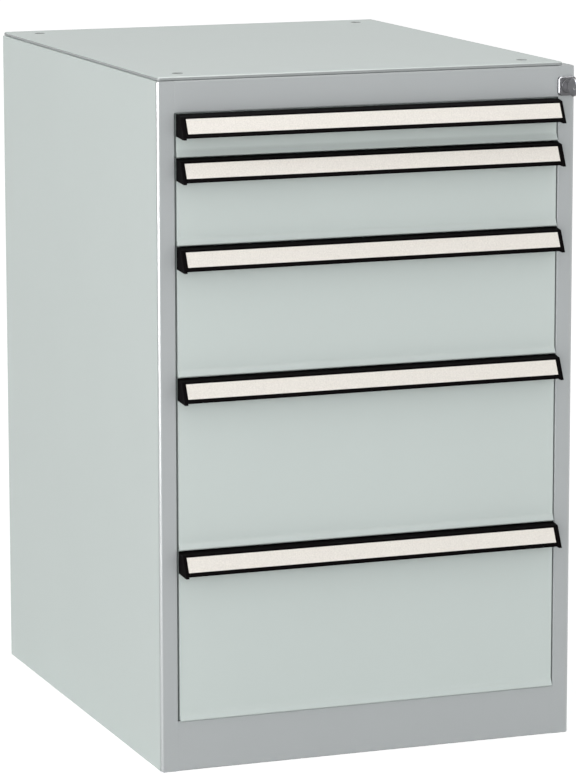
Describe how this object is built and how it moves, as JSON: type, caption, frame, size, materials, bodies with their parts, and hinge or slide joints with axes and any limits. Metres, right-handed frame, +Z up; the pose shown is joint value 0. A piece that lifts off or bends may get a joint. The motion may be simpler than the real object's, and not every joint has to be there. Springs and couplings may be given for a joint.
{
  "type": "drawer cabinet",
  "caption": "Steel drawer cabinet on a plinth, with drawers of graded height on roller runners, full-width black handle rails with pale label strips, and a lock in the frame.",
  "frame": {"origin": "on the floor, in the middle of the bounding box, whose front is the key's bow", "axes": "+X to the right seen from the front, +Y from the front to the back, +Z upwards"},
  "size_m": [0.51, 0.631, 0.8],
  "materials": {
    "panel_paint": "smooth light grey powder coat",
    "frame_paint": "smooth mid grey powder coat",
    "runner_steel": "zinc plated sheet",
    "roller_plastic": "natural white nylon",
    "handle_black": "black, slightly satin",
    "strip_aluminium": "pale satin with a fine grain",
    "lock_chrome": "worn bright plating",
    "key_steel": "nickel plated"
  },
  "bodies": {
    "carcass": {"side_panel_left": "panel_paint", "side_panel_right": "panel_paint", "back_panel": "panel_paint", "top_panel": "panel_paint", "base_panel": "panel_paint", "base_corner_plates": "runner_steel", "front_post_left": "frame_paint", "front_post_right": "frame_paint", "top_rail": "frame_paint", "plinth": "frame_paint", "uprights": "runner_steel", "runner_channels_left": "runner_steel", "runner_channels_right": "runner_steel", "lock_escutcheon": "lock_chrome", "lock_clip": "runner_steel", "lock_bar_guides": "roller_plastic"},
    "drawer_1": {"drawer_front_1": "panel_paint", "drawer_tray_1": "panel_paint", "handle_rail_1": "handle_black", "label_strip_1": "strip_aluminium", "handle_caps_1": "handle_black", "drawer_channels_1": "runner_steel"},
    "front_rollers_1_body": {"front_rollers_1": "roller_plastic"},
    "rear_rollers_1_body": {"rear_rollers_1": "roller_plastic"},
    "drawer_2": {"drawer_front_2": "panel_paint", "drawer_tray_2": "panel_paint", "handle_rail_2": "handle_black", "label_strip_2": "strip_aluminium", "handle_caps_2": "handle_black", "drawer_channels_2": "runner_steel"},
    "front_rollers_2_body": {"front_rollers_2": "roller_plastic"},
    "rear_rollers_2_body": {"rear_rollers_2": "roller_plastic"},
    "drawer_3": {"drawer_front_3": "panel_paint", "drawer_tray_3": "panel_paint", "handle_rail_3": "handle_black", "label_strip_3": "strip_aluminium", "handle_caps_3": "handle_black", "drawer_channels_3": "runner_steel"},
    "front_rollers_3_body": {"front_rollers_3": "roller_plastic"},
    "rear_rollers_3_body": {"rear_rollers_3": "roller_plastic"},
    "drawer_4": {"drawer_front_4": "panel_paint", "drawer_tray_4": "panel_paint", "handle_rail_4": "handle_black", "label_strip_4": "strip_aluminium", "handle_caps_4": "handle_black", "drawer_channels_4": "runner_steel"},
    "front_rollers_4_body": {"front_rollers_4": "roller_plastic"},
    "rear_rollers_4_body": {"rear_rollers_4": "roller_plastic"},
    "drawer_5": {"drawer_front_5": "panel_paint", "drawer_tray_5": "panel_paint", "handle_rail_5": "handle_black", "label_strip_5": "strip_aluminium", "handle_caps_5": "handle_black", "drawer_channels_5": "runner_steel"},
    "front_rollers_5_body": {"front_rollers_5": "roller_plastic"},
    "rear_rollers_5_body": {"rear_rollers_5": "roller_plastic"},
    "lock_rotor": {"lock_cylinder": "lock_chrome", "key": "key_steel", "lock_cam": "runner_steel"},
    "lock_bar_body": {"lock_bar": "runner_steel"}
  },
  "joints": [
    {"name": "drawer_1_slide", "type": "slide", "parent": "carcass", "child": "drawer_1", "axis": [0, -1, 0], "range_m": [0, 0.42]},
    {"name": "front_rollers_1_spin", "type": "hinge", "parent": "carcass", "child": "front_rollers_1_body", "pos_m": [0, -0.2275, 0.7325], "axis": [1, 0, 0], "continuous": true},
    {"name": "rear_rollers_1_spin", "type": "hinge", "parent": "drawer_1", "child": "rear_rollers_1_body", "pos_m": [0, 0.2615, 0.7305], "axis": [1, 0, 0], "continuous": true},
    {"name": "drawer_2_slide", "type": "slide", "parent": "carcass", "child": "drawer_2", "axis": [0, -1, 0], "range_m": [0, 0.42]},
    {"name": "front_rollers_2_spin", "type": "hinge", "parent": "carcass", "child": "front_rollers_2_body", "pos_m": [0, -0.2275, 0.6325], "axis": [1, 0, 0], "continuous": true},
    {"name": "rear_rollers_2_spin", "type": "hinge", "parent": "drawer_2", "child": "rear_rollers_2_body", "pos_m": [0, 0.2615, 0.6305], "axis": [1, 0, 0], "continuous": true},
    {"name": "drawer_3_slide", "type": "slide", "parent": "carcass", "child": "drawer_3", "axis": [0, -1, 0], "range_m": [0, 0.42]},
    {"name": "front_rollers_3_spin", "type": "hinge", "parent": "carcass", "child": "front_rollers_3_body", "pos_m": [0, -0.2275, 0.4825], "axis": [1, 0, 0], "continuous": true},
    {"name": "rear_rollers_3_spin", "type": "hinge", "parent": "drawer_3", "child": "rear_rollers_3_body", "pos_m": [0, 0.2615, 0.4805], "axis": [1, 0, 0], "continuous": true},
    {"name": "drawer_4_slide", "type": "slide", "parent": "carcass", "child": "drawer_4", "axis": [0, -1, 0], "range_m": [0, 0.42]},
    {"name": "front_rollers_4_spin", "type": "hinge", "parent": "carcass", "child": "front_rollers_4_body", "pos_m": [0, -0.2275, 0.2825], "axis": [1, 0, 0], "continuous": true},
    {"name": "rear_rollers_4_spin", "type": "hinge", "parent": "drawer_4", "child": "rear_rollers_4_body", "pos_m": [0, 0.2615, 0.2805], "axis": [1, 0, 0], "continuous": true},
    {"name": "drawer_5_slide", "type": "slide", "parent": "carcass", "child": "drawer_5", "axis": [0, -1, 0], "range_m": [0, 0.42]},
    {"name": "front_rollers_5_spin", "type": "hinge", "parent": "carcass", "child": "front_rollers_5_body", "pos_m": [0, -0.2275, 0.0825], "axis": [1, 0, 0], "continuous": true},
    {"name": "rear_rollers_5_spin", "type": "hinge", "parent": "drawer_5", "child": "rear_rollers_5_body", "pos_m": [0, 0.2615, 0.0805], "axis": [1, 0, 0], "continuous": true},
    {"name": "key_turn", "type": "hinge", "parent": "carcass", "child": "lock_rotor", "pos_m": [0.244, -0.2845, 0.772], "axis": [0, 1, 0], "range_deg": [-1.5, 91.5]},
    {"name": "lock_bar_lift", "type": "slide", "parent": "carcass", "child": "lock_bar_body", "axis": [0, 0, 1], "range_m": [0, 0.00636]}
  ],
  "couplings": [
    {"joint": "front_rollers_1_spin", "follows": "drawer_1_slide", "rad_per_m": 100},
    {"joint": "rear_rollers_1_spin", "follows": "drawer_1_slide", "rad_per_m": 100},
    {"joint": "front_rollers_2_spin", "follows": "drawer_2_slide", "rad_per_m": 100},
    {"joint": "rear_rollers_2_spin", "follows": "drawer_2_slide", "rad_per_m": 100},
    {"joint": "front_rollers_3_spin", "follows": "drawer_3_slide", "rad_per_m": 100},
    {"joint": "rear_rollers_3_spin", "follows": "drawer_3_slide", "rad_per_m": 100},
    {"joint": "front_rollers_4_spin", "follows": "drawer_4_slide", "rad_per_m": 100},
    {"joint": "rear_rollers_4_spin", "follows": "drawer_4_slide", "rad_per_m": 100},
    {"joint": "front_rollers_5_spin", "follows": "drawer_5_slide", "rad_per_m": 100},
    {"joint": "rear_rollers_5_spin", "follows": "drawer_5_slide", "rad_per_m": 100},
    {"joint": "key_turn", "follows": "lock_bar_lift", "rad_per_m": 246.83}
  ]
}
